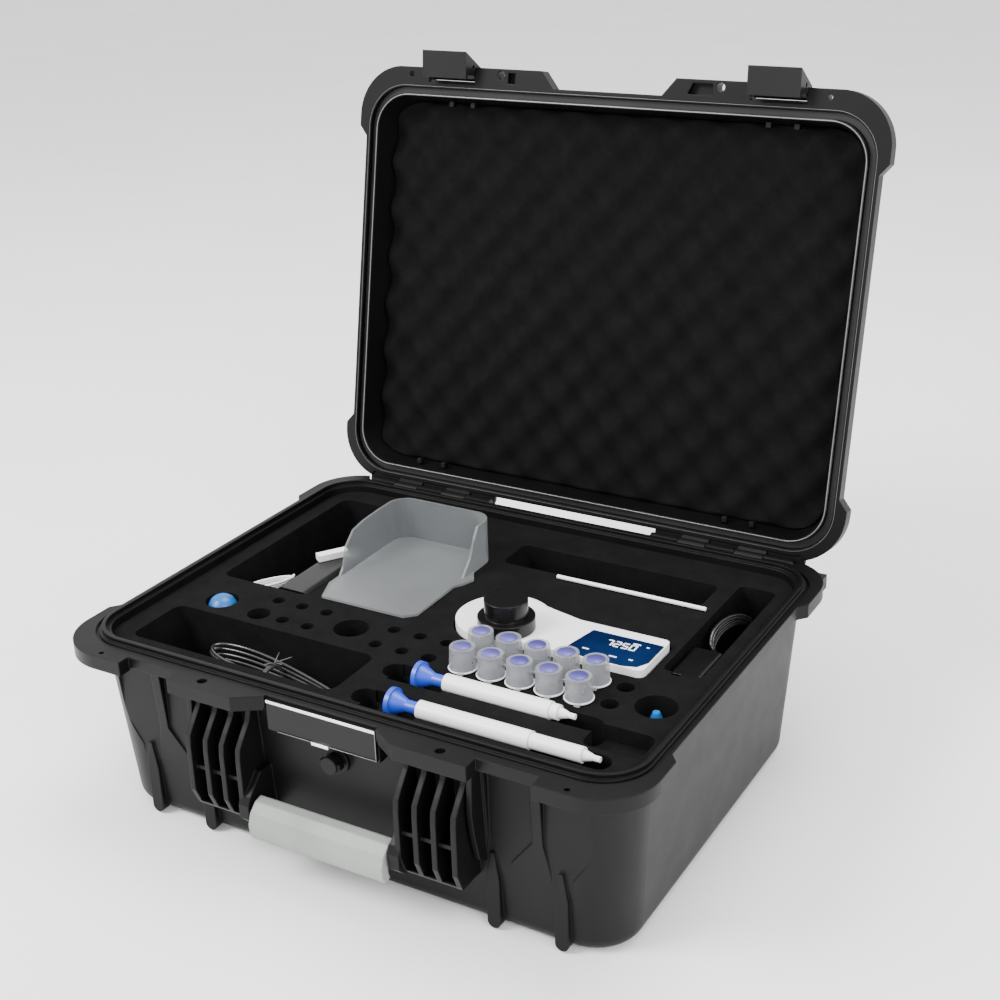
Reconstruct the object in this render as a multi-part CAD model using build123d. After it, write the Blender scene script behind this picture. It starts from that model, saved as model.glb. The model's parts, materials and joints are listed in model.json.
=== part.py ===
"""Water test kit in a hinged hard case. Millimetres, +Z up, +Y to the back, origin under the middle of the base.

The lid stands open at rest. Lid pieces are drawn in the closed place and turned open about the hinge line.
"""

from build123d import *
import os

os.makedirs("parts", exist_ok=True)

# ---- case: driving dimensions ----
RIM_HALF_W = 230.0  # half width of the rim flange
RIM_FRONT = -180.0  # front edge of the rim flange
RIM_REAR = 177.0  # rear edge of the rim flange between the hinges
RIM_TOP = 143.8
RIM_THICK = 9.0
RIM_CORNER_R = 38.0
EAR_HALF_W = 236.0  # corner guards stand this far out
EAR_FRONT = -190.0
EAR_REAR = 184.0
INNER_HALF_W = 217.6
INNER_HALF_D = 161.7
INNER_CORNER_R = 30.0
WALL_TOP = (222.5, 169.0)  # outer half width and half depth of the tub under the rim
WALL_FOOT = (213.0, 158.5)
WALL = 4.5
FLOOR = 4.0
FOOT_FILLET = 11.0

LID_PLANE = 144.3  # underside of the closed lid
LID_DEPTH = 46.0
LID_RIM_THICK = 12.0
LID_HALF_W = 229.0
LID_HALF_D = 173.7
OPEN_DEG = 101.0
HINGE_Y = 181.0
HINGE_Z = 139.0
KNUCKLE_R = 5.5
PIN_R = 2.0
PIN_GAP = 0.06
HINGE_EDGES = (77.0, 101.5, 126.0, 151.0, 175.5, 200.0)

TAB_IN, TAB_OUT, TAB_FRONT = 66.0, 122.0, -192.0
PADLOCK_X, PADLOCK_Y, PADLOCK_R = 97.5, -182.5, 3.5
LATCH_X, LATCH_W = 145.0, 42.5
LATCH_Y, LATCH_Z = -181.5, 150.0
GUARD_FRONT = -187.5

HANDLE_Y, HANDLE_Z = -188.0, 52.0
HANDLE_HALF = 56.0

# ---- contents: driving dimensions ----
FOAM_TOP = 138.0
FOAM_MID = 90.0  # parting line between the cut layer and the base layer
VIAL_PITCH = 23.0
VIAL_X0 = 50.0
VIAL_ROWS = (-50.3, -75.9)
VIAL_R = 8.0
SYRINGE_Z = 140.0
SYRINGE_R = 6.4
METER_TOP = 143.0
METER_HEAD = (41.0, -2.0, 36.0)  # x, y and radius of the round head
METER_BODY = (58.0, 168.0, -31.0, 19.0)  # x from, x to, y from, y to
CAP_X, CAP_Y, CAP_TOP = 51.5, -16.0, 167.0


def save(shape, name):
    """Writes one node; a list is a node of several separate solids."""
    body = Compound(children=list(shape)) if isinstance(shape, (list, tuple)) else shape
    export_step(body, os.path.join("parts", name + ".step"))


def block(x0, x1, y0, y1, z0, z1):
    return Pos((x0 + x1) / 2, (y0 + y1) / 2, (z0 + z1) / 2) * Box(x1 - x0, y1 - y0, z1 - z0)


def both_sides(shape):
    return [shape, shape.mirror(Plane.YZ)]


def rod_x(x0, x1, y, z, r):
    return Pos((x0 + x1) / 2, y, z) * Rot(0, 90, 0) * Cylinder(r, x1 - x0)


def rod_y(y0, y1, x, z, r):
    return Pos(x, (y0 + y1) / 2, z) * Rot(90, 0, 0) * Cylinder(r, y1 - y0)


def post(x, y, z0, z1, r):
    return Pos(x, y, (z0 + z1) / 2) * Cylinder(r, z1 - z0)


def plate_z(points, z0, z1):
    """Flat outline in XY, extruded up from z0 to z1."""
    return Pos(0, 0, z0) * extrude(make_face(Polyline(*points, close=True)), z1 - z0)


def plate_x(points, x0, x1):
    """Outline in YZ, extruded along X from x0 to x1."""
    face = make_face(Polyline(*[(x0, y, z) for y, z in points], close=True))
    return extrude(face, x1 - x0, dir=(1, 0, 0))


def plate_y(points, y0, y1):
    """Outline in XZ, extruded along Y from y0 to y1."""
    face = make_face(Polyline(*[(x, y0, z) for x, z in points], close=True))
    return extrude(face, y1 - y0, dir=(0, 1, 0))


def rounded_slab(half_w, y0, y1, r, z0, z1):
    face = Pos(0, (y0 + y1) / 2, z0) * RectangleRounded(2 * half_w, y1 - y0, r)
    return extrude(face, z1 - z0)


def tapered(foot, top, r_foot, r_top, z0, z1):
    """Rounded box whose half sizes go from foot at z0 to top at z1."""
    low = Pos(0, 0, z0) * RectangleRounded(2 * foot[0], 2 * foot[1], r_foot)
    high = Pos(0, 0, z1) * RectangleRounded(2 * top[0], 2 * top[1], r_top)
    return loft([low, high])


def between(foot, top, z, z0, z1):
    """Half sizes at height z of a taper from foot at z0 to top at z1."""
    t = (z - z0) / (z1 - z0)
    return tuple(a + (b - a) * t for a, b in zip(foot, top))


def ring(half_w, half_d, width, z0, z1, r):
    outer = rounded_slab(half_w, -half_d, half_d, r, z0, z1)
    inner = rounded_slab(half_w - width, width - half_d, half_d - width, r - width, z0, z1)
    return outer - inner


def opened(shape):
    """A lid piece turned from its closed place to its rest place."""
    hinge = Axis((0, HINGE_Y, HINGE_Z), (1, 0, 0))
    if isinstance(shape, (list, tuple)):
        return [s.rotate(hinge, -OPEN_DEG) for s in shape]
    return shape.rotate(hinge, -OPEN_DEG)


# ---- base shell ----
INNER_FOOT = (WALL_FOOT[0] - WALL, WALL_FOOT[1] - WALL)
FOOT_R = 5.0
FIN_X = (65.5, 80.0, 94.3, 109.7)
FIN_PROFILE = ((-160, 134.8), (-172, 134.8), (-177, 118), (-185, 108), (-190, 101), (-191, 92),
               (-191, 56), (-186, 44), (-160, 41))
BOSS_PROFILE = ((-158, 78), (-176, 78), (-190, 64), (-193, 58), (-193, 47), (-186, 40), (-156, 40))


def tub():
    outer = tapered(WALL_FOOT, WALL_TOP, 34, 38, 0, RIM_TOP)
    outer = fillet(outer.edges().group_by(Axis.Z)[0], FOOT_FILLET)
    inner_top = (INNER_HALF_W, INNER_HALF_D)
    inner = tapered(INNER_FOOT, inner_top, 28, INNER_CORNER_R, FLOOR, RIM_TOP + 0.01)
    return outer, inner


def corner_guards(slab, front_y, rear_y, front_x, rear_x, half_w, y_front, y_rear):
    """Four corners of a slab, each run out to the rim line by a slanted end."""
    run = EAR_HALF_W - half_w + 3.0
    front = plate_z(((front_x, y_front - 12), (EAR_HALF_W + 1, y_front - 12), (EAR_HALF_W + 1, front_y - run),
                     (half_w - 2, front_y + 2), (half_w - 20, front_y), (front_x, y_front)), 100, 200)
    rear = plate_z(((rear_x, y_rear - 2), (rear_x + run, y_rear + 12), (EAR_HALF_W + 1, y_rear + 12),
                    (EAR_HALF_W + 1, rear_y + run), (half_w - 2, rear_y - 2), (half_w - 20, rear_y)), 100, 200)
    return [slab & corner for outline in (front, rear) for corner in both_sides(outline)]


def rim():
    z0 = RIM_TOP - RIM_THICK
    flange = rounded_slab(RIM_HALF_W, RIM_FRONT, RIM_REAR, RIM_CORNER_R, z0, RIM_TOP)
    ears = rounded_slab(EAR_HALF_W, EAR_FRONT, EAR_REAR, 42, z0 - 2, RIM_TOP)
    body = flange
    for guard in corner_guards(ears, -118, 108, 168, 200, RIM_HALF_W, RIM_FRONT, RIM_REAR):
        body += guard
    tab = plate_z(((47, -179), (47, RIM_FRONT), (TAB_IN, TAB_FRONT), (TAB_OUT, TAB_FRONT),
                   (TAB_OUT, -179)), z0 - 2, RIM_TOP)
    for piece in both_sides(tab):
        body += piece
    body -= block(-46, 46, -190, -177, 100, 150)
    return body


def fin_bank():
    """Grille under one padlock tab, on the +X side."""
    bank = plate_x(BOSS_PROFILE, 58.5, 67.0)
    for x in FIN_X:
        bank += plate_x(FIN_PROFILE, x - 2.0, x + 2.0)
    bank += plate_x(((-160, 134.8), (-178, 134.8), (-180, 100), (-178, 84), (-172, 60), (-160, 52)), 113.5, 117.5)
    bank += block(65, 111, -187, -160, 72.5, 75.5)
    bank += plate_x(((-160, 47), (-186, 44), (-184, 41), (-160, 41)), 60, 111)
    return bank


def foot_rib(x, front):
    """Vertical rib with a round lower end, standing a little off the wall."""
    rib = block(x - FOOT_R, x + FOOT_R, front, front + 14, FOOT_R + 1, 40)
    rib += plate_y(((x - FOOT_R, 40), (x + FOOT_R, 40), (x + 1.5, 62), (x - 1.5, 62)), front, front + 14)
    return rib + rod_y(front, front + 14, x, FOOT_R + 1, FOOT_R)


def funnel(x0, x1, xc):
    """Shallow recess that narrows from shoulders down to a rib at xc."""
    return plate_y(((x0, 131), (x1, 131), (x1, 80), (xc + 8, 58), (xc + 8, 30), (xc - 8, 30), (xc - 8, 58),
                    (x0, 80)), -175, -162.2)


def base_shell():
    outer, inner = tub()
    for x0, x1, xc in ((160.5, 196.0, 173.4), (119.5, 153.0, 128.0)):
        for cut in both_sides(funnel(x0, x1, xc)):
            outer -= cut
    body = outer + rim()
    for bank in both_sides(fin_bank()):
        body += bank
    for x in (-173.4, -122.0, 122.0, 173.4):
        body += foot_rib(x, -164.3)
        body += foot_rib(x, 150.3)
    body += block(-46, 46, -177, -160, 116, RIM_TOP)
    body -= inner
    body += ring(223.6, 167.6, 3.0, RIM_TOP - 1, RIM_TOP + 3.5, 34)
    body -= ring(227.4, 172.6, 2.6, RIM_TOP - 2.0, RIM_TOP + 1, 38)
    for ledge in both_sides(block(HINGE_EDGES[0], 206, 165, 190, 124, 132.6)):
        body += ledge
    for ledge in both_sides(block(200, 226, 165, 187.5, 124, 135.5)):
        body += ledge
    x = HINGE_EDGES
    for side in (-1, 1):
        for a, b in ((x[1], x[2]), (x[3], x[4])):
            lo, hi = sorted((side * (a - 0.4), side * (b + 0.4)))
            body -= block(lo, hi, 174.6, 195, 131.2, 150)
        for a, b in ((x[0], x[1]), (x[2], x[3]), (x[4], x[5])):
            lo, hi = sorted((side * (a + 0.2), side * (b - 0.2)))
            body += rod_x(lo, hi, HINGE_Y, HINGE_Z, KNUCKLE_R)
            body += block(lo, hi, 172, HINGE_Y, RIM_TOP - RIM_THICK, HINGE_Z + 3)
            body -= rod_x(lo - 1, hi + 1, HINGE_Y, HINGE_Z, PIN_R)
        body -= post(side * PADLOCK_X, PADLOCK_Y, 120, 150, PADLOCK_R)
        body -= post(side * 189.5, -184.0, RIM_TOP - 6, 150, 2.0)
        lo, hi = sorted((side * 50.0, side * 66.0))
        body -= rod_x(lo, hi, HANDLE_Y, HANDLE_Z, PIN_R)
    body += rod_y(-169.5, -162.0, VALVE_X, VALVE_Z, 10.5)
    body -= rod_y(-180, -150, VALVE_X, VALVE_Z, 2.5)
    return body


def hinge_pins():
    reach = HINGE_EDGES[-1] - 0.3
    return [rod_x(HINGE_EDGES[0] + 0.3, reach, HINGE_Y, HINGE_Z, PIN_R - PIN_GAP),
            rod_x(-reach, -HINGE_EDGES[0] - 0.3, HINGE_Y, HINGE_Z, PIN_R - PIN_GAP)]


def handle_pins():
    return both_sides(rod_x(50.5, 65.5, HANDLE_Y, HANDLE_Z, PIN_R - PIN_GAP))


def handle_grip():
    outline = ((-181.5, 62.5), (-188, 61), (-194.5, 55), (-197.5, 47), (-197, 39), (-193.5, 33.5),
               (-188.5, 35.5), (-190, 41), (-189.5, 46), (-184.5, 48.5), (-182, 54))
    grip = plate_x(outline, -HANDLE_HALF, HANDLE_HALF)
    grip -= rod_x(-HANDLE_HALF - 1, -50, HANDLE_Y, HANDLE_Z, PIN_R)
    grip -= rod_x(50, HANDLE_HALF + 1, HANDLE_Y, HANDLE_Z, PIN_R)
    return grip


def nameplate():
    return block(-45, 45, -179.2, -177.0, 118, 141.5)


VALVE_X, VALVE_Z = 3.0, 101.0


def valve_knob():
    knob = rod_y(-178.0, -169.8, VALVE_X, VALVE_Z, 6.5)
    knob += block(VALVE_X - 8.5, VALVE_X + 8.5, -176.5, -171.5, VALVE_Z - 2, VALVE_Z + 2)
    return knob + rod_y(-171, -161, VALVE_X, VALVE_Z, 2.44)


# ---- lid ----
def lid_shell():
    z0, z1 = LID_PLANE, LID_PLANE + LID_DEPTH
    outer = tapered((222.0, 167.0), (214.0, 159.0), 38, 34, z0, z1)
    outer = fillet(outer.edges().group_by(Axis.Z)[-1], 9)
    flange = rounded_slab(LID_HALF_W, -LID_HALF_D, LID_HALF_D, 37, z0, z0 + LID_RIM_THICK)
    guards = rounded_slab(EAR_HALF_W, -185.8, 177.5, 42, z0, z0 + LID_RIM_THICK)
    body = outer + flange
    for corner in corner_guards(guards, -125, 122, 167.5, 203, LID_HALF_W, -LID_HALF_D, LID_HALF_D):
        body += corner
    guard = plate_z(((47, -172), (60, GUARD_FRONT), (122.5, GUARD_FRONT), (122.5, -172)),
                    z0, z0 + LID_RIM_THICK)
    stub = block(167.5, 173, GUARD_FRONT + 1.7, -172, z0, z0 + LID_RIM_THICK)
    lip = block(123.2, 166.8, -175.7, -172, z0 + 1, z0 + LID_RIM_THICK)
    for piece in both_sides(guard) + both_sides(stub) + both_sides(lip):
        body += piece
    for x in (-150, -90, -30, 30, 90, 150):
        body += block(x - 4, x + 4, -140, 140, z1 - 3, z1 + 2)
    body -= tapered((INNER_HALF_W, INNER_HALF_D), (210.0, 155.0), INNER_CORNER_R, 28, z0 - 0.01, z1 - 4)
    body -= ring(225.2, 169.2, 6.0, z0 - 1, z0 + 7, 35)
    x = HINGE_EDGES
    for side in (-1, 1):
        for a, b in ((x[1], x[2]), (x[3], x[4])):
            lo, hi = sorted((side * (a + 0.2), side * (b - 0.2)))
            arm = plate_x(((170, z0 + 3), (174, z0 + 0.4), (HINGE_Y, HINGE_Z - 2), (HINGE_Y + KNUCKLE_R, HINGE_Z),
                           (HINGE_Y + KNUCKLE_R, z0 + 3), (178, z0 + 11), (170, z0 + 11)), lo, hi)
            body += arm + rod_x(lo, hi, HINGE_Y, HINGE_Z, KNUCKLE_R)
            body -= rod_x(lo - 1, hi + 1, HINGE_Y, HINGE_Z, PIN_R)
        body -= post(side * PADLOCK_X, PADLOCK_Y, 130, 170, PADLOCK_R)
        lo, hi = sorted((side * 117.5, side * 173.5))
        body -= rod_x(lo, hi, LATCH_Y, LATCH_Z, PIN_R)
        body -= post(side * 185.0, -179.6, 130, 170, 2.2)
    body -= plate_z(((70, -176), (74, -184.5), (91, -184.5), (91, -176)), z0 - 1, z0 + 6)
    body -= block(-92, -66, -184.5, -176, z0 - 1, z0 + 6) & block(-91, -84, -190, -170, 100, 200)
    return body


def lid_gasket():
    return ring(224.9, 168.9, 5.4, LID_PLANE + 4.6, LID_PLANE + 6.9, 34.7)


def lid_foam():
    """Plain block of the wavy foam sheet, from the wave tops to the roof of the lid."""
    z0, z1 = LID_PLANE + 16, LID_PLANE + LID_DEPTH - 4.4
    return tapered((213.6, 158.0), (209.4, 154.4), 28, 26, z0, z1)


def foam_clips():
    clips = []
    for x, y in ((-161, 155.5), (-136, 155.5), (133.5, 155.5), (157, 155.5),
                 (-149, -155.5), (-128, -155.5), (136, -155.5), (159, -155.5)):
        inward = -1 if y > 0 else 1
        lo, hi = sorted((-inward * 159.0, -inward * 154.5))
        clips.append(block(x - 2, x + 2, lo, hi, LID_PLANE + 8, LID_PLANE + 14))
    return clips


def latch(x):
    outline = ((-177.5, 131.4), (-199.2, 129.1), (-187, 157), (-182, 155.5), (-176.4, 151.5), (-176.4, 148.5),
               (-180.9, 144.4), (-180.9, 134.3), (-177.5, 134.3))
    x0, x1 = x - LATCH_W / 2, x + LATCH_W / 2
    lever = plate_x(outline, x0, x1) + rod_x(x0, x1, LATCH_Y, LATCH_Z, 5.4)
    lever -= rod_x(x0 - 1, x1 + 1, LATCH_Y, LATCH_Z, PIN_R)
    return lever - rod_x(x0 - 1, x1 + 1, -187.5, 143.0, 1.8)


def latch_pins():
    return both_sides(rod_x(118.0, 173.0, LATCH_Y, LATCH_Z, PIN_R - PIN_GAP))


# ---- foam layers ----
POCKETS = (
    (-198.0, -15.0, -144.5, -89.5, 8.0),  # front left, cable
    (-202.0, -118.0, -32.5, 138.5, 8.0),  # rear left, charger
    (-12.0, 161.0, 88.5, 125.5, 6.0),  # rear middle, rods
    (175.0, 205.0, -13.0, 133.5, 5.0),  # right, adapter
)
SMALL_HOLES = [(x, -49.0, 5.0) for x in (-133.0, -110.5, -87.5, -26.0, -3.0, 20.0)]
SMALL_HOLES += [(x, -74.0, 5.0) for x in (-110.5, -87.5, -26.0, -3.0)]
SMALL_HOLES += [(-133.0, -74.0, 9.0), (20.0, -74.0, 6.0), (163.5, -47.5, 6.5), (163.5, -72.5, 6.5)]
LARGE_HOLE = (-56.0, -61.5, 13.5)
BOTTLE_HOLE = (-173.0, -68.5, 13.0)
DROPPER_HOLE = (193.0, -61.5, 15.0)
SYRINGES = (
    # axis y, head, barrel start, joint, nozzle end, slot end
    (-140.0, 31.4, 54.4, 140.4, 190.4, 197.0),
    (-101.0, 28.4, 51.4, 134.4, 152.4, 172.0),
)


def pocket(x0, x1, y0, y1, r):
    face = Pos((x0 + x1) / 2, (y0 + y1) / 2, FOAM_MID - 1) * RectangleRounded(x1 - x0, y1 - y0, r)
    return extrude(face, 60)


def meter_outline(grow, z0, z1):
    hx, hy, hr = METER_HEAD
    x0, x1, y0, y1 = METER_BODY
    head = post(hx, hy, z0, z1, hr + grow)
    body = block(x0, x1 + grow, y0 - grow, y1 + grow, z0, z1)
    body = fillet(body.edges().filter_by(Axis.Z).group_by(Axis.X)[-1], 5 + grow)
    neck = plate_z(((hx, hy + hr + grow - 1), (70, 25 + grow), (95, y1 + grow), (95, 0), (hx, 0)), z0, z1)
    return head + body + neck


def foam_insert():
    foot = between(INNER_FOOT, (INNER_HALF_W, INNER_HALF_D), FOAM_MID, FLOOR, RIM_TOP)
    top = between(INNER_FOOT, (INNER_HALF_W, INNER_HALF_D), FOAM_TOP, FLOOR, RIM_TOP)
    body = tapered((foot[0] - 0.4, foot[1] - 0.4), (top[0] - 0.4, top[1] - 0.4), 28, 29, FOAM_MID + 0.1, FOAM_TOP)
    for p in POCKETS:
        body -= pocket(*p)
    for x, y, r in SMALL_HOLES + [LARGE_HOLE, BOTTLE_HOLE, DROPPER_HOLE]:
        body -= post(x, y, FOAM_MID - 1, 150, r)
    for y in VIAL_ROWS:
        for i in range(5):
            body -= post(VIAL_X0 + VIAL_PITCH * i, y, FOAM_MID - 1, 150, VIAL_R + 0.7)
    body -= meter_outline(1.6, FOAM_MID - 1, 150)
    body -= block(183, 190, -17, -12, 120, 150)
    for y, head, start, joint, tip, end in SYRINGES:
        body -= block(head - 19.4, start + 2, y - 11.2, y + 11.2, 128.6, 150)
        body -= block(start, end - 8, y - 8.5, y + 8.5, 112, 150)
        body -= post(end - 8, y, 112, 150, 8.5)
        body -= post(9.0, y + 1.0, 112, 150, 9.5)
        for x in (start + 14, joint - 20):
            body += block(x - 6, x + 6, y - 9, y + 9, 111, SYRINGE_Z - SYRINGE_R - 0.4)
    body -= fillet(block(168, 211, -126, -97, 126, 150).edges().filter_by(Axis.Z), 7)
    return body


def foam_base_layer():
    low = between(INNER_FOOT, (INNER_HALF_W, INNER_HALF_D), FLOOR + 0.4, FLOOR, RIM_TOP)
    top = between(INNER_FOOT, (INNER_HALF_W, INNER_HALF_D), FOAM_MID, FLOOR, RIM_TOP)
    return tapered((low[0] - 0.4, low[1] - 0.4), (top[0] - 0.4, top[1] - 0.4), 27, 28, FLOOR + 0.2, FOAM_MID)


# ---- contents ----
def vial(x, y):
    glass = post(x, y, FOAM_MID + 0.3, 140, VIAL_R)
    glass += post(x, y, 139, 151.5, 6.8)
    return glass - post(x, y, FOAM_MID + 2, 152, 6.0)


def vial_cap(x, y):
    cap = Pos(x, y, 147.4) * Cone(10.0, 9.2, 17.2)
    cap -= post(x, y, 130, 140.2, VIAL_R + 0.1)
    cap -= post(x, y, 138, 152.0, 6.9)
    tab = block(x + 2.0, x + 6.0, y - 12.2, y - 8.6, 138.8, 140.0)
    return cap + tab


def meter_case_bottom():
    shell = meter_outline(0, 104, 126.9)
    return shell - meter_outline(-2.4, 106.4, 128)


def meter_case_top():
    shell = meter_outline(0, 127.1, METER_TOP)
    shell -= meter_outline(-2.4, 126, METER_TOP - 2.4)
    return shell - post(CAP_X, CAP_Y, 130, 150, 14.2)


def meter_keypad():
    return plate_z(((111, 8), (105, -22), (109, -30), (152, -30), (162, -27), (167, -18), (167, 8)),
                   METER_TOP + 0.05, METER_TOP + 0.8)


def meter_batteries():
    return [rod_x(72, 122, y, 113.5, 7.0) for y in (-20.0, -5.0)]


def meter_well():
    """Cell well with its collar, which the light cap slips over."""
    well = post(CAP_X, CAP_Y, 108, 151.5, 14.0)
    return well - post(CAP_X, CAP_Y, 110, 153, 11.5)


def meter_cap():
    cap = post(CAP_X, CAP_Y, METER_TOP + 0.3, 153, 21.5)
    cap += post(CAP_X, CAP_Y, 153, 155.5, 15.2)
    cap += post(CAP_X, CAP_Y, 155.5, CAP_TOP, 16.3)
    return cap - post(CAP_X, CAP_Y, 140, 152.4, 14.3)


def syringe_barrel(y, start, joint, tip):
    barrel = rod_x(start, joint, y, SYRINGE_Z, SYRINGE_R)
    barrel += rod_x(joint - 1, tip - 12, y, SYRINGE_Z, SYRINGE_R - 0.9)
    barrel += Pos(tip - 9, y, SYRINGE_Z) * Rot(0, 90, 0) * Cone(4.4, 2.2, 8)
    barrel += rod_x(tip - 14, tip, y, SYRINGE_Z, 2.0)
    barrel -= rod_x(start - 1, joint - 4, y, SYRINGE_Z, 5.2)
    return barrel - rod_x(joint - 6, tip + 1, y, SYRINGE_Z, 0.9)


def syringe_plunger(y, head, start, joint):
    thumb = rod_x(head, head + 3.4, y, SYRINGE_Z, 10.3)
    thumb += Pos(head + 8.2, y, SYRINGE_Z) * Rot(0, 90, 0) * Cone(8.6, 4.4, 10)
    thumb += rod_x(head + 13, start + 12, y, SYRINGE_Z, 4.4)
    return thumb + rod_x(start + 10, joint - 14.2, y, SYRINGE_Z, 3.4)


def syringe_seal(y, joint):
    return rod_x(joint - 14, joint - 6, y, SYRINGE_Z, 5.14)


def sample_scoop():
    """Frosted scoop with a tall back, sloping side walls and an open front lip."""
    z0, z1, wall = FOAM_TOP + 0.3, 175.0, 2.0
    x0, x1, y0, y1 = -113.7, -22.0, -31.0, 95.0
    outer = fillet(block(x0, x1, y0, y1, z0, z1).edges().filter_by(Axis.Z).group_by(Axis.Y)[-1], 16)
    inner_box = block(x0 + wall, x1 - wall, y0 - 5, y1 - wall, z0 + wall, z1 + 5)
    inner = fillet(inner_box.edges().filter_by(Axis.Z).group_by(Axis.Y)[-1], 14)
    sweep = ((-32, z0), (-32, z0 + wall), (4, z0 + wall), (9, 146), (15, 162), (26, 171.5), (40, 174), (63, z1),
             (96, z1), (96, z0))
    body = (outer - inner) & plate_x(sweep, x0 - 1, x1 + 1)
    body -= plate_x(((3, z0 + wall), (44, z0 + wall), (56, 152), (63, 166), (70, z1 + 1), (0, z1 + 1)), x1 - 12, x1 + 1)
    body += plate_z(((x1 - 4, 24), (x1 + 4, 36), (x1 + 8, 47), (x1, 60), (x1 - 4, 66)), z0, z0 + wall)
    corner = plate_z(((x0 - 1, y0 - 1), (x0 + 9, y0 - 1), (x0, y0 + 22), (x0 - 1, y0 + 22)), z0 - 1, z1)
    body -= corner
    return body - plate_z(((x1 + 1, y0 - 1), (x1 - 9, y0 - 1), (x1 + 1, y0 + 9)), z0 - 1, z1)


def stirring_rod():
    return rod_x(42, 168, 81.5, FOAM_TOP + 1.9, 1.6)


def reagent_bottle():
    x, y, _ = BOTTLE_HOLE
    return post(x, y, FOAM_MID + 0.3, 126, 12.0) + post(x, y, 125, 131, 8.5)


def reagent_cap():
    x, y, _ = BOTTLE_HOLE
    cap = Pos(x, y, 134.4) * Cone(11.2, 9.6, 16.0)
    return cap - post(x, y, 120, 131.3, 8.6)


def dropper_bottle():
    x, y, _ = DROPPER_HOLE
    return post(x, y, FOAM_MID + 0.3, 112, 13.0) + post(x, y, 111, 118, 6.0)


def dropper_cap():
    x, y, _ = DROPPER_HOLE
    cap = post(x, y, 112.3, 122, 9.0) + Pos(x, y, 128) * Cone(7.0, 2.5, 12.2)
    return cap - post(x, y, 110, 118.3, 6.1)


def capsule(a, b, r):
    """Closed outer shape of a wound hank lying from a to b."""
    a, b = Vector(*a), Vector(*b)
    mid, way = (a + b) * 0.5, (b - a)
    tube = Plane(origin=mid, z_dir=way.normalized()) * Cylinder(r, way.length)
    return tube + Pos(a.X, a.Y, a.Z) * Sphere(r) + Pos(b.X, b.Y, b.Z) * Sphere(r)


def black_cord_hank():
    return capsule((-150, -106, 111), (-32, -124, 111), 10.0)


def cord_tie():
    hug = Plane(origin=(-92, -115, 111), z_dir=(118, -18, 0)) * Cylinder(12.0, 3.5)
    return hug - Plane(origin=(-92, -115, 111), z_dir=(118, -18, 0)) * Cylinder(10.2, 5.0)


def white_cord_hank():
    return capsule((-181, -18, 122), (-172, 12, 122), 8.0)


def spare_cord_hank():
    return capsule((190, 62, 120), (190, 112, 120), 12.0)


def charger():
    body = block(-152, -119.5, -28, 44, 100, 137.5)
    return fillet(body.edges().filter_by(Axis.Y), 7)


def charger_plug():
    return Pos(-141, 34, 140.6) * Rot(0, 0, 56) * Box(26, 8, 5.4)


def cable_adapter():
    body = block(178, 202, -8, 34, 102, 134)
    return fillet(body.edges().filter_by(Axis.Y), 4)


save(base_shell(), "base_shell")
save(hinge_pins(), "hinge_pins")
save(handle_pins(), "handle_pins")
save(handle_grip(), "handle_grip")
save(nameplate(), "nameplate")
save(valve_knob(), "valve_knob")
save(opened(lid_shell()), "lid_shell")
save(opened(lid_gasket()), "lid_gasket")
save(opened(lid_foam()), "lid_foam")
save(opened(foam_clips()), "foam_clips")
save(opened(latch_pins()), "latch_pins")
save(opened(latch(-LATCH_X)), "latch_left")
save(opened(latch(LATCH_X)), "latch_right")
save(foam_insert(), "foam_insert")
save(foam_base_layer(), "foam_base_layer")
vial_number = 1
for row_y in VIAL_ROWS:
    for i in range(5):
        vial_x = VIAL_X0 + VIAL_PITCH * i
        save(vial(vial_x, row_y), f"vial_{vial_number}")
        save(vial_cap(vial_x, row_y), f"vial_cap_{vial_number}")
        vial_number += 1
save(meter_case_bottom(), "meter_case_bottom")
save(meter_case_top(), "meter_case_top")
save(meter_keypad(), "meter_keypad")
save(meter_batteries(), "meter_batteries")
save(meter_well(), "meter_well")
save(meter_cap(), "meter_cap")
for n, (axis_y, head, start, joint, tip, slot_end) in enumerate(SYRINGES, 1):
    save(syringe_barrel(axis_y, start, joint, tip), f"syringe_barrel_{n}")
    save(syringe_plunger(axis_y, head, start, joint), f"syringe_plunger_{n}")
    save(syringe_seal(axis_y, joint), f"syringe_seal_{n}")
save(sample_scoop(), "sample_scoop")
save(stirring_rod(), "stirring_rod")
save(reagent_bottle(), "reagent_bottle")
save(reagent_cap(), "reagent_cap")
save(dropper_bottle(), "dropper_bottle")
save(dropper_cap(), "dropper_cap")
save(black_cord_hank(), "black_cord_hank")
save(cord_tie(), "cord_tie")
save(white_cord_hank(), "white_cord_hank")
save(spare_cord_hank(), "spare_cord_hank")
save(charger(), "charger")
save(charger_plug(), "charger_plug")
save(cable_adapter(), "cable_adapter")
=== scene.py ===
import json
import math

import bmesh
import bpy
from mathutils import Matrix, Vector


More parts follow.
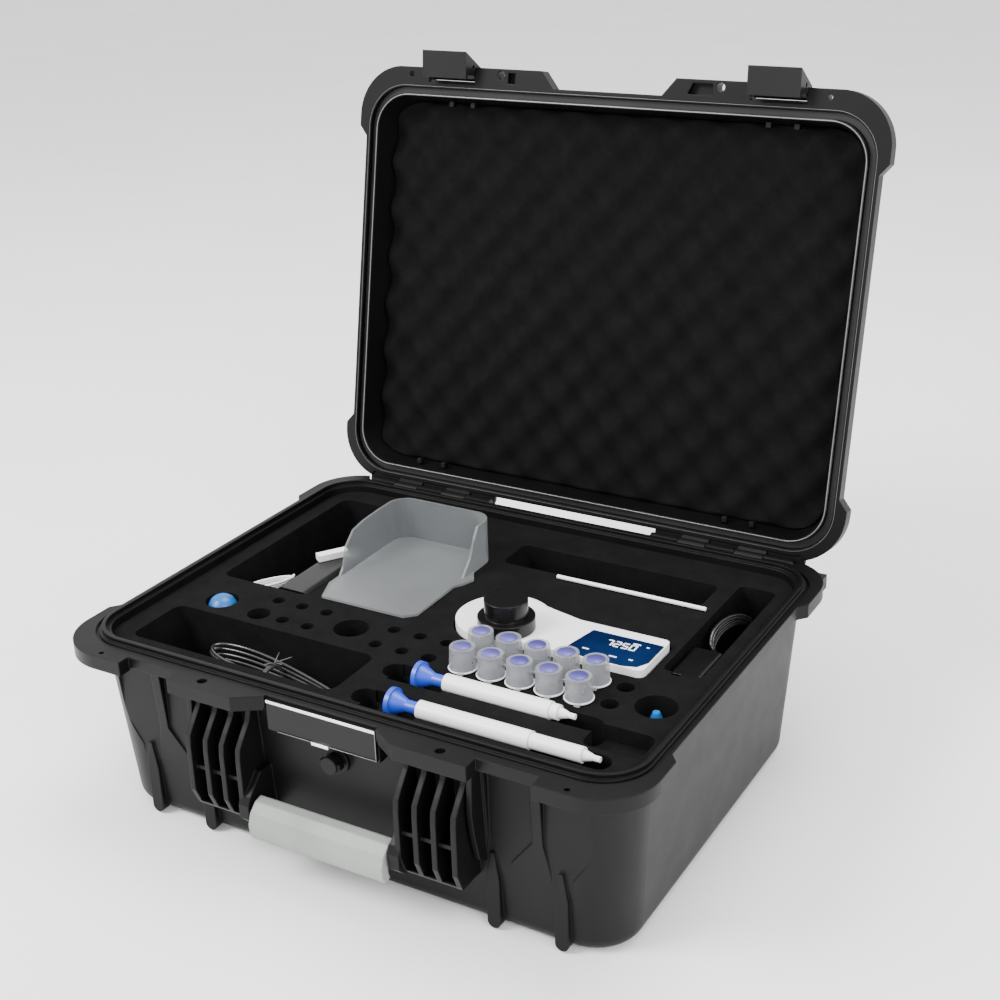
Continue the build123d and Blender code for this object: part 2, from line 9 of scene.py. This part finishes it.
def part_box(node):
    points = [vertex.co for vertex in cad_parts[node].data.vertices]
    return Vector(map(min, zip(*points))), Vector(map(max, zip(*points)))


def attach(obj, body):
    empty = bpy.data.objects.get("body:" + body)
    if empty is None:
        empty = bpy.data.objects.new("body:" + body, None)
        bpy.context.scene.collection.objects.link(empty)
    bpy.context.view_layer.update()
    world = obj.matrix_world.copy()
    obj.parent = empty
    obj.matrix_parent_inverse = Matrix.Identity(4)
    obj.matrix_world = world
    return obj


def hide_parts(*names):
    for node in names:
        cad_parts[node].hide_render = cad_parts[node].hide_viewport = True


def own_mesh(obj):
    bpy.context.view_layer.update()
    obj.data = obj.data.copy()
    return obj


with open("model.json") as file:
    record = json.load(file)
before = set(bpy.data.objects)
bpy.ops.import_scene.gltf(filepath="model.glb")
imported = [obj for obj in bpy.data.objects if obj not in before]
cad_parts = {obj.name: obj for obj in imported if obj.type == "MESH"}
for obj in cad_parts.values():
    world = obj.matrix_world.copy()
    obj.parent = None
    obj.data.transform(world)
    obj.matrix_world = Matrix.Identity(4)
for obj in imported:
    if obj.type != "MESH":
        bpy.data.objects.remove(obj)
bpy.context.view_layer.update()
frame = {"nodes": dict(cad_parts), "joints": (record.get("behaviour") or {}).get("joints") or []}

NODES = frame["nodes"]
MM = 0.001

# ---- measured from the frame ----
HINGE = next(j for j in frame["joints"] if j["name"] == "lid_hinge")
HINGE_POS = Vector(HINGE["pos_m"])
OPEN = Matrix.Translation(HINGE_POS) @ Matrix.Rotation(
    -math.radians(HINGE["range_deg"][1]), 4, "X") @ Matrix.Translation(-HINGE_POS)
LID_PLANE = 144.3


def box_mm(node):
    """Low and high corner of a CAD node, in millimetres."""
    return [Vector(corner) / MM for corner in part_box(node)]


# ---- materials ----
class Mat:
    """A node material built round one Principled shader."""

    def __init__(self, name, rough=0.5, **sockets):
        self.mat = bpy.data.materials.new(name)
        self.mat.use_nodes = True
        self.tree = self.mat.node_tree
        self.shader = self.tree.nodes["Principled BSDF"]
        self.coords = self.tree.nodes.new("ShaderNodeTexCoord")
        self.set("Roughness", rough)
        for socket, value in sockets.items():
            self.set(socket.replace("_", " "), value)

    def set(self, socket, value):
        self.shader.inputs[socket].default_value = value

    def node(self, kind, **values):
        made = self.tree.nodes.new(kind)
        for key, value in values.items():
            made.inputs[key.replace("_", " ")].default_value = value
        return made

    def link(self, a, b):
        self.tree.links.new(a, b)

    def noise(self, scale, detail=4.0, rough=0.55):
        made = self.node("ShaderNodeTexNoise", Scale=scale, Detail=detail, Roughness=rough)
        self.link(self.coords.outputs["Object"], made.inputs["Vector"])
        return made.outputs["Fac"]

    def ramp(self, factor, stops):
        made = self.tree.nodes.new("ShaderNodeValToRGB")
        while len(made.color_ramp.elements) < len(stops):
            made.color_ramp.elements.new(0.5)
        for element, (place, colour) in zip(made.color_ramp.elements, stops):
            element.position = place
            element.color = (*colour, 1)
        self.link(factor, made.inputs["Fac"])
        return made.outputs["Color"]

    def colour(self, factor, low, high, a=0.35, b=0.65):
        self.link(self.ramp(factor, ((a, low), (b, high))), self.shader.inputs["Base Color"])

    def roughness(self, factor, low, high):
        made = self.node("ShaderNodeMapRange", To_Min=low, To_Max=high)
        self.link(factor, made.inputs["Value"])
        self.link(made.outputs["Result"], self.shader.inputs["Roughness"])

    def bump(self, factor, distance, strength=1.0, round_edges=0.0):
        made = self.node("ShaderNodeBump", Distance=distance, Strength=strength)
        self.link(factor, made.inputs["Height"])
        if round_edges:
            bevel = self.node("ShaderNodeBevel", Radius=round_edges)
            bevel.samples = 4
            self.link(bevel.outputs["Normal"], made.inputs["Normal"])
        self.link(made.outputs["Normal"], self.shader.inputs["Normal"])
        return self


def grey(v, tint=(1.0, 1.0, 1.0)):
    return tuple(v * t for t in tint)


def moulded(name, low, high, rough=(0.4, 0.55), grain=0.00006, scale=2600, edge=0.0008, shine=0.5):
    """Moulded plastic: faint colour clouds, fine grain and softly rounded edges."""
    m = Mat(name, Specular_IOR_Level=shine)
    m.colour(m.noise(14, 3), low, high)
    m.roughness(m.noise(45, 5), *rough)
    m.bump(m.noise(scale, 2), grain, 1.0, edge)
    return m.mat


def make_foam(name, low, high):
    """Open-cell foam: small pits all over, dull."""
    m = Mat(name, rough=0.95, Specular_IOR_Level=0.06)
    m.colour(m.noise(60, 6, 0.7), low, high)
    cells = m.node("ShaderNodeTexVoronoi", Scale=900)
    m.link(m.coords.outputs["Object"], cells.inputs["Vector"])
    m.bump(cells.outputs["Distance"], 0.0004, 0.6)
    return m.mat


def clear(name, colour, rough, transmission, ior=1.45, haze=30, alpha=1.0):
    """Translucent plastic or glass with faint clouding."""
    m = Mat(name, rough=rough)
    m.set("Transmission Weight", transmission)
    m.set("IOR", ior)
    m.set("Alpha", alpha)
    m.colour(m.noise(haze, 4), grey(1.0, colour), grey(0.93, colour))
    m.roughness(m.noise(haze * 5, 5), rough * 0.85, min(1.0, rough * 1.2))
    m.bump(m.noise(haze * 20, 3), 0.00005)
    return m.mat


def metal(name, colour, rough=0.3):
    m = Mat(name, rough=rough)
    m.set("Metallic", 1.0)
    m.colour(m.noise(30, 3), grey(0.9, colour), colour)
    stretch = m.node("ShaderNodeMapping")
    stretch.inputs["Scale"].default_value = (1, 40, 40)
    m.link(m.coords.outputs["Object"], stretch.inputs["Vector"])
    lines = m.node("ShaderNodeTexNoise", Scale=120, Detail=2)
    m.link(stretch.outputs["Vector"], lines.inputs["Vector"])
    m.roughness(lines.outputs["Fac"], rough * 0.8, rough * 1.3)
    m.bump(lines.outputs["Fac"], 0.00002, 0.5)
    return m.mat


CASE = moulded("case_plastic", grey(0.0022), grey(0.0034), (0.36, 0.48), 0.00007, 1800, 0.0015, 0.17)
LATCH = moulded("latch_plastic", grey(0.004), grey(0.006), (0.34, 0.44), 0.00005, 2000, 0.0008, 0.25)
FOAM = make_foam("cut_foam", grey(0.0042), grey(0.0064))
WAVE_FOAM = make_foam("wave_foam", grey(0.0038), grey(0.0056))
GASKET = moulded("gasket_rubber", grey(0.012), grey(0.018), (0.3, 0.45), 0.00003, 900, 0.0008, 0.3)
# light grey glossy bead colour: painted highlight lines along the edges of the black lid rim
RIM_HIGHLIGHT = moulded("rim_highlight_bead", grey(0.10), grey(0.15), (0.22, 0.32), 0.00002, 900, 0.0, 0.8)
STEEL = metal("pin_metal", (0.30, 0.30, 0.31), 0.3)
GRIP = moulded("grip_plastic", (0.19, 0.21, 0.19), (0.25, 0.27, 0.25), (0.42, 0.56), 0.0001, 1500, 0.0022)
PLATE_BLACK = moulded("plate_face", grey(0.003), grey(0.005), (0.3, 0.4), 0.00002, 700, 0.0003, 0.2)
# bright metal paints the nameplate's highlight line and spot; its dim copy paints the shaded bottom and
# right edges
PLATE_HIGHLIGHT = metal("plate_highlight", (0.92, 0.93, 0.94), 0.25)
PLATE_SHADE = metal("plate_shade", (0.16, 0.17, 0.18), 0.3)
WHITE = moulded("white_plastic", grey(0.84), grey(0.90), (0.25, 0.38), 0.00003, 900, 0.0012)
BLUE_PANEL = moulded("panel_face", (0.0008, 0.004, 0.022), (0.0025, 0.015, 0.065), (0.25, 0.35),
                      0.00001, 300, 0.0002, 0.15)
BLACK = moulded("black_plastic", grey(0.0028), grey(0.0045), (0.24, 0.34), 0.00004, 1500, 0.0012, 0.35)
BLUE = moulded("blue_plastic", (0.018, 0.05, 0.46), (0.03, 0.075, 0.55), (0.28, 0.4), 0.00003, 900, 0.0008)
CYAN = moulded("cyan_cap", (0.004, 0.09, 0.30), (0.012, 0.15, 0.42), (0.28, 0.4), 0.00003, 900, 0.0008)
FROST = clear("frosted_plastic", (0.29, 0.305, 0.315), 0.34, 0.5, alpha=0.5)
CAP_FROST = clear("cap_frost", (0.50, 0.51, 0.54), 0.28, 0.5, alpha=0.55)
CAP_EDGE = clear("cap_edge", (0.93, 0.93, 0.95), 0.25, 0.2)
GLASS = clear("cell_glass", (0.98, 0.99, 1.0), 0.06, 0.95, 1.5)
LILAC = moulded("lilac_disc", (0.055, 0.045, 0.22), (0.09, 0.08, 0.28), (0.3, 0.42), 0.00003, 900, 0.0004)
CORD = moulded("cord_black", grey(0.012), grey(0.022), (0.18, 0.28), 0.00002, 900, 0.0, 0.7)
CORD_WHITE = moulded("cord_white", grey(0.84), grey(0.90), (0.3, 0.4), 0.00002, 900, 0.0)
TIE = moulded("tie_wire", grey(0.05), grey(0.09), (0.25, 0.35), 0.00002, 900, 0.0)
DIGIT = moulded("digit_white", grey(0.80), grey(0.90), (0.4, 0.5), 0.00001, 300, 0.0)

FINISH = {
    CASE: ("base_shell", "lid_shell", "foam_clips", "valve_knob"),
    LATCH: ("latch_left", "latch_right"),
    FOAM: ("foam_insert", "foam_base_layer"),
    GASKET: ("lid_gasket",),
    STEEL: ("hinge_pins", "handle_pins", "latch_pins", "meter_batteries"),
    GRIP: ("handle_grip",),
    PLATE_BLACK: ("nameplate",),
    WHITE: ("meter_case_top", "meter_case_bottom", "meter_well", "syringe_barrel_1", "syringe_barrel_2",
            "stirring_rod", "reagent_bottle", "dropper_bottle", "charger_plug"),
    BLUE_PANEL: ("meter_keypad",),
    BLACK: ("meter_cap", "charger", "cable_adapter", "syringe_seal_1", "syringe_seal_2"),
    BLUE: ("syringe_plunger_1", "syringe_plunger_2"),
    CYAN: ("reagent_cap", "dropper_cap"),
    FROST: ("sample_scoop",),
    CAP_FROST: tuple(f"vial_cap_{i}" for i in range(1, 11)),
    GLASS: tuple(f"vial_{i}" for i in range(1, 11)),
    CORD: ("black_cord_hank", "spare_cord_hank", "cord_tie"),
    CORD_WHITE: ("white_cord_hank",),
}
for material, names in FINISH.items():
    for name in names:
        mesh = NODES[name].data
        mesh.materials.clear()
        mesh.materials.append(material)


# ---- mesh helpers ----
def piece(name, bm, material, body, smooth=True):
    """A bmesh in millimetres becomes a piece that rides on a body."""
    bmesh.ops.recalc_face_normals(bm, faces=bm.faces)
    mesh = bpy.data.meshes.new(name)
    bm.to_mesh(mesh)
    bm.free()
    mesh.transform(Matrix.Scale(MM, 4))
    mesh.materials.append(material)
    for polygon in mesh.polygons:
        polygon.use_smooth = smooth
    obj = bpy.data.objects.new(name, mesh)
    bpy.context.collection.objects.link(obj)
    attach(obj, body)
    return obj


def add_prism(bm, points, depth, place=Matrix(), bevel=0.0):
    """Extrudes a flat outline along local Z, with its edges bevelled."""
    base = [bm.verts.new((x, y, 0)) for x, y in points]
    face = bm.faces.new(base)
    made = bmesh.ops.extrude_face_region(bm, geom=[face])
    top = [v for v in made["geom"] if isinstance(v, bmesh.types.BMVert)]
    for v in top:
        v.co.z += depth
    edges = {e for v in top + base for e in v.link_edges}
    verts = set(top + base)
    if bevel:
        grown = bmesh.ops.bevel(bm, geom=list(edges), offset=bevel, segments=3, affect="EDGES", profile=0.5)
        verts = {v for v in verts if v.is_valid} | {v for f in grown["faces"] for v in f.verts}
    for v in verts:
        v.co = place @ v.co


def lathe(profile, place=Matrix(), steps=48):
    """Turns (radius, height) points round local Z."""
    bm = bmesh.new()
    rings = []
    for radius, height in profile:
        if radius < 1e-6:
            rings.append([bm.verts.new(place @ Vector((0, 0, height)))])
            continue
        rings.append([bm.verts.new(place @ Vector((radius * math.cos(a), radius * math.sin(a), height)))
                      for a in (2 * math.pi * i / steps for i in range(steps))])
    for low, high in zip(rings, rings[1:]):
        for i in range(steps):
            j = (i + 1) % steps
            corners = [low[i % len(low)], low[j % len(low)], high[j % len(high)], high[i % len(high)]]
            unique = list(dict.fromkeys(corners))
            if len(unique) > 2:
                bm.faces.new(unique)
    return bm


# ---- waved foam in the lid ----
def waved_foam():
    """Sheet of waved foam, drawn in the shut lid and turned open: crests on a staggered grid."""
    low_y, high_y = 155.4, 212.0
    half_w, half_d, corner = 212.6, 157.2, 26.0
    crest, valley, roof = LID_PLANE + 17.0, LID_PLANE + 26.0, LID_PLANE + 41.0
    pitch_x, pitch_y, step = 38.0, 42.0, 2.6
    columns, rows = int(2 * half_w / step), int(2 * half_d / step)
    bm = bmesh.new()
    grid = []
    for j in range(rows + 1):
        y = -half_d + 2 * half_d * j / rows
        over = max(0.0, abs(y) - (half_d - corner))
        reach = half_w - corner + math.sqrt(max(0.0, corner ** 2 - over ** 2))
        line = []
        for i in range(columns + 1):
            x = reach * (2 * i / columns - 1)
            wave = math.cos(2 * math.pi * x / pitch_x) * math.cos(2 * math.pi * y / pitch_y)
            wave += 0.12 * math.sin(x * 0.061 + 1.3) * math.sin(y * 0.047)
            height = 0.5 + 0.46 * wave
            z = valley + (crest - valley) * max(0.0, min(1.0, height))
            line.append(bm.verts.new(OPEN @ (Vector((x, y, z)) * MM) / MM))
        grid.append(line)
    for a, b in zip(grid, grid[1:]):
        for i in range(columns):
            bm.faces.new((a[i], a[i + 1], b[i + 1], b[i]))
    edge = [e for e in bm.edges if e.is_boundary]
    made = bmesh.ops.extrude_edge_only(bm, edges=edge)
    wall = [v for v in made["geom"] if isinstance(v, bmesh.types.BMVert)]
    shut = OPEN.inverted()
    for v in wall:
        closed = shut @ (v.co * MM)
        closed.z = roof * MM
        closed.x *= 0.982
        closed.y *= 0.982
        v.co = (OPEN @ closed) / MM
    bmesh.ops.contextual_create(bm, geom=[e for e in bm.edges if e.is_boundary])
    foam = piece("waved_lid_foam", bm, WAVE_FOAM, "lid")
    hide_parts("lid_foam")
    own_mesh(foam)
    return foam


waved_foam()


def rim_highlight_bead(name, half_w, half_d, corner, height, radius, place, body, material):
    """A thin round bead along a rounded rectangle; on the lid it carries a light grey painted highlight
    line.
    """
    centres = ((half_w - corner, half_d - corner, 0), (corner - half_w, half_d - corner, 90),
               (corner - half_w, corner - half_d, 180), (half_w - corner, corner - half_d, 270))
    bm = bmesh.new()
    rings = []
    for cx, cy, start in centres:
        for step in range(13):
            turn = math.radians(start + step * 7.5)
            out = Vector((math.cos(turn), math.sin(turn), 0))
            middle = Vector((cx, cy, height)) + out * corner
            ring = []
            for k in range(8):
                around = math.pi * k / 4
                offset = out * math.cos(around) + Vector((0, 0, math.sin(around)))
                ring.append(bm.verts.new(place @ ((middle + offset * radius) * MM) / MM))
            rings.append(ring)
    for a, b in zip(rings, rings[1:] + rings[:1]):
        for k in range(8):
            bm.faces.new((a[k], a[k - 1], b[k - 1], b[k]))
    return piece(name, bm, material, body)


# two light grey beads paint the highlight lines on the inner and outer edges of the lid lip
rim_highlight_bead("lid_inner_highlight_bead", 218.5, 162.6, 30.5, LID_PLANE + 0.7, 0.85, OPEN, "lid", RIM_HIGHLIGHT)
rim_highlight_bead("lid_outer_highlight_bead", 226.3, 170.3, 35.5, LID_PLANE + 0.7, 0.75, OPEN, "lid", RIM_HIGHLIGHT)


# ---- cords ----
def coil(name, turns, centre_mm, half_long, half_wide, heading, rise, diameter, material, node,
         fan=0.0, tilt=0.0, slope=0.0, points=14):
    """A hank of long oval turns, each on the last, that spread at one end by fan and stand up by tilt."""
    ux = Vector((math.cos(heading), math.sin(heading), 0))
    uy = Vector((-ux.y, ux.x, 0))
    middle = Vector(centre_mm)
    route = []
    for i in range(turns * points + 1):
        turn = i / points
        angle = 2 * math.pi * turn
        long = (half_long - 1.6 * math.sin(2.4 * turn)) * math.cos(angle)
        side = math.sin(angle)
        spread = 0.5 - 0.5 * math.cos(angle)
        wide = (half_wide + fan * turn * spread) * side
        lift = rise * turn * (0.55 + 0.45 * spread) + tilt * side + slope * long / half_long
        route.append(middle + ux * long + uy * wide + Vector((0, 0, lift)))
    data = bpy.data.curves.new(name, "CURVE")
    data.dimensions = "3D"
    data.bevel_depth = diameter / 2 * MM
    data.bevel_resolution = 4
    data.resolution_u = 6
    spline = data.splines.new("NURBS")
    spline.points.add(len(route) - 1)
    for point, place in zip(spline.points, route):
        point.co = (*(place * MM), 1)
    spline.order_u = 3
    spline.use_endpoint_u = True
    data.use_fill_caps = True
    data.materials.append(material)
    obj = bpy.data.objects.new(name, data)
    bpy.context.collection.objects.link(obj)
    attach(obj, "base")
    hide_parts(node)
    return obj


coil("black_cable", 6, (-89, -114, 103), 68, 5.0, math.radians(-8.7), 4.0, 2.4, CORD, "black_cord_hank",
     fan=2.4, slope=5.0)
coil("white_cable", 5, (-176.5, -3, 115), 21, 6.0, math.radians(73), 2.7, 2.2, CORD_WHITE, "white_cord_hank",
     fan=0.3)
coil("spare_cable", 5, (190, 84, 113), 30, 6.0, math.radians(82), 2.4, 2.8, CORD, "spare_cord_hank",
     fan=0.6, tilt=13.0)


def wire(bm, start, end, radius):
    """A straight thin wire between two places, in millimetres."""
    a, b = Vector(start), Vector(end)
    place = Matrix.Translation(a) @ (b - a).to_track_quat("Z", "Y").to_matrix().to_4x4()
    turns = [k * math.pi / 4 for k in range(8)]
    add_prism(bm, [(radius * math.cos(t), radius * math.sin(t)) for t in turns], (b - a).length, place)


def tie_ends():
    """The twisted ends of the wire that ties the black cable."""
    bm = bmesh.new()
    knot = Vector((-92, -110, 123.6))
    for away in ((11, 7, 4), (-3, 10, 3), (10, -4, 3), (-3, -9, 2)):
        wire(bm, knot, knot + Vector(away), 0.38)
    piece("tie_wire_ends", bm, TIE, "base")


tie_ends()


# ---- lilac discs and foot flanges of the sample cell caps ----
CAP_RADIUS = 10.0
for number in range(1, 11):
    low, high = box_mm(f"vial_cap_{number}")
    top = Matrix.Translation(((low.x + high.x) / 2, high.y - CAP_RADIUS, high.z))
    disc = lathe(((0, -0.4), (6.3, -0.4), (6.6, 0.0), (6.4, 0.35), (0, 0.45)), top)
    piece(f"lilac_disc_{number}", disc, LILAC, f"vial_{number}_body")
    foot = Matrix.Translation((top.translation.x, top.translation.y, low.z))
    outline = ((9.6, 0.1), (10.6, 0.1), (10.8, 0.6), (10.5, 1.1), (9.9, 1.3), (9.6, 0.9), (9.6, 0.1))
    flange = lathe(outline, foot)
    piece(f"cap_flange_{number}", flange, CAP_EDGE, f"vial_{number}_body")


# ---- hinge strip along the rear edge of the lid ----
def hinge_strip():
    bm = bmesh.new()
    across = Matrix(((0, 0, 1, 0), (1, 0, 0, 0), (0, 1, 0, 0), (0, 0, 0, 1)))
    for start in (-207.0, 77.0):
        outline = ((171.5, 145.6), (180.6, 145.2), (181.2, 147.0), (178.5, 149.6), (171.5, 150.6))
        opened = Matrix.Scale(1 / MM, 4) @ OPEN @ Matrix.Scale(MM, 4)
        place = opened @ Matrix.Translation((start, 0, 0)) @ across
        add_prism(bm, outline, 130.0, place, 0.4)
    piece("hinge_strip", bm, CASE, "lid", smooth=False)


hinge_strip()


# ---- nameplate: painted highlight bars on the top edge and below the middle, painted shade bars on the bottom and right edges ----
def plate_light_and_shade():
    low, high = box_mm("nameplate")
    front = Matrix.Translation((0, low.y - 0.1, 0)) @ Matrix.Rotation(math.radians(90), 4, "X")
    bright, dim = bmesh.new(), bmesh.new()
    # bright bars are painted highlights, dim bars are painted shade along the plate edges
    bars = (
        (bright, low.x + 0.3, high.x - 0.3, high.z - 2.2, high.z, 0.8),
        (dim, low.x + 8.0, high.x - 0.3, low.z, low.z + 0.6, 0.6),
        (dim, high.x - 0.7, high.x, low.z, high.z, 0.6),
        (bright, -8, 6, low.z - 1.6, low.z + 0.8, 1.1),
    )
    for bm, x0, x1, z0, z1, deep in bars:
        add_prism(bm, ((x0, z0), (x1, z0), (x1, z1), (x0, z1)), deep, front, 0.15)
    piece("nameplate_highlight_bars", bright, PLATE_HIGHLIGHT, "base")
    piece("nameplate_shade_bars", dim, PLATE_SHADE, "base")


plate_light_and_shade()


# ---- domed cap of the bottle ----
def domed_cap():
    low, high = box_mm("reagent_cap")
    middle = (low + high) / 2
    r, tall = (high.x - low.x) / 2, high.z - low.z
    wall = ((r - 1.4, 0.3), (r, 0.3), (r, tall * 0.52), (r - 0.7, tall * 0.60), (r * 0.78, tall * 0.80),
            (r * 0.50, tall * 0.94), (r * 0.2, tall - 0.2), (0, tall))
    dome = lathe(wall, Matrix.Translation((middle.x, middle.y, low.z)))
    made = piece("bottle_cap_dome", dome, CYAN, "bottle")
    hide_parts("reagent_cap")


domed_cap()


# ---- meter display: plain figures and marks ----
SEGMENTS = {"a": (0, 2, 1, 2), "b": (1, 1, 1, 2), "c": (1, 0, 1, 1), "d": (0, 0, 1, 0), "e": (0, 0, 0, 1),
            "f": (0, 1, 0, 2), "g": (0, 1, 1, 1)}
FIGURES = {"1": "bc", "2": "abged", "5": "afgcd", "7": "abc", "0": "abcdef"}


def meter_marks():
    low, high = box_mm("meter_keypad")
    top = high.z
    bm = bmesh.new()

    def bar(x0, y0, x1, y1, w):
        way = Vector((x1 - x0, y1 - y0, 0))
        side = Vector((-way.y, way.x, 0)).normalized() * w / 2
        corners = [Vector((x0, y0, 0)) - side, Vector((x1, y1, 0)) - side, Vector((x1, y1, 0)) + side,
                   Vector((x0, y0, 0)) + side]
        add_prism(bm, [(c.x, c.y) for c in corners], 0.25, Matrix.Translation((0, 0, top)))

    for n, figure in enumerate("7250"):
        x = 128 + n * 6.2
        for s in FIGURES[figure]:
            ax, ay, bx, by = SEGMENTS[s]
            bar(x + ax * 4.0, -8 + ay * 3.6, x + bx * 4.0, -8 + by * 3.6, 1.1)
    for x, y, w in ((146, 1.5, 6), (116, -20, 5), (138, -22, 6), (153, -21, 3), (157, 0.5, 2)):
        bar(x, y, x + w, y, 1.3)
    piece("meter_marks", bm, DIGIT, "meter", smooth=False)


meter_marks()


# ---- floor, light and camera ----
floor_mesh = bpy.data.meshes.new("floor")
floor_bm = bmesh.new()
bmesh.ops.create_grid(floor_bm, x_segments=2, y_segments=2, size=6.0)
floor_bm.to_mesh(floor_mesh)
floor_bm.free()
floor = bpy.data.objects.new("floor", floor_mesh)
floor.location.z = -0.0005
bpy.context.collection.objects.link(floor)
floor_finish = Mat("floor_pale", rough=0.9)
floor_finish.colour(floor_finish.noise(3, 2), grey(0.90), grey(0.93))
floor_mesh.materials.append(floor_finish.mat)

world = bpy.data.worlds.new("studio")
bpy.context.scene.world = world
world.use_nodes = True
world.node_tree.nodes["Background"].inputs["Color"].default_value = (1, 1, 1, 1)
world.node_tree.nodes["Background"].inputs["Strength"].default_value = 1.5


def area_light(name, place, target, size, power):
    data = bpy.data.lights.new(name, "AREA")
    data.shape = "DISK"
    data.size = size
    data.energy = power
    obj = bpy.data.objects.new(name, data)
    obj.location = place
    obj.rotation_euler = (Vector(target) - Vector(place)).to_track_quat("-Z", "Y").to_euler()
    bpy.context.collection.objects.link(obj)


area_light("key", (-1.3, -1.5, 2.0), (0, 0, 0.15), 1.2, 90)
area_light("fill", (1.8, -1.2, 1.2), (0, 0, 0.15), 1.5, 35)
area_light("top", (0.2, 0.6, 2.4), (0, 0, 0.15), 1.6, 50)

CAMERA_AT = Vector((0.5700, -0.8987, 0.6831))
CAMERA_BACK = Vector((0.46720, -0.79171, 0.39359)).normalized()
CAMERA_ROLL = math.radians(-1.7375)
forward = -CAMERA_BACK
right = forward.cross(Vector((0, 0, 1))).normalized()
up = right.cross(forward)
turned_right = math.cos(CAMERA_ROLL) * right + math.sin(CAMERA_ROLL) * up
turned_up = -math.sin(CAMERA_ROLL) * right + math.cos(CAMERA_ROLL) * up
camera_data = bpy.data.cameras.new("camera")
camera_data.lens = 56.5
camera_data.sensor_width = 36
camera_data.dof.use_dof = False
camera = bpy.data.objects.new("camera", camera_data)
camera.matrix_world = Matrix((
    (turned_right.x, turned_up.x, CAMERA_BACK.x, CAMERA_AT.x),
    (turned_right.y, turned_up.y, CAMERA_BACK.y, CAMERA_AT.y),
    (turned_right.z, turned_up.z, CAMERA_BACK.z, CAMERA_AT.z),
    (0, 0, 0, 1)))
bpy.context.collection.objects.link(camera)
bpy.context.scene.camera = camera
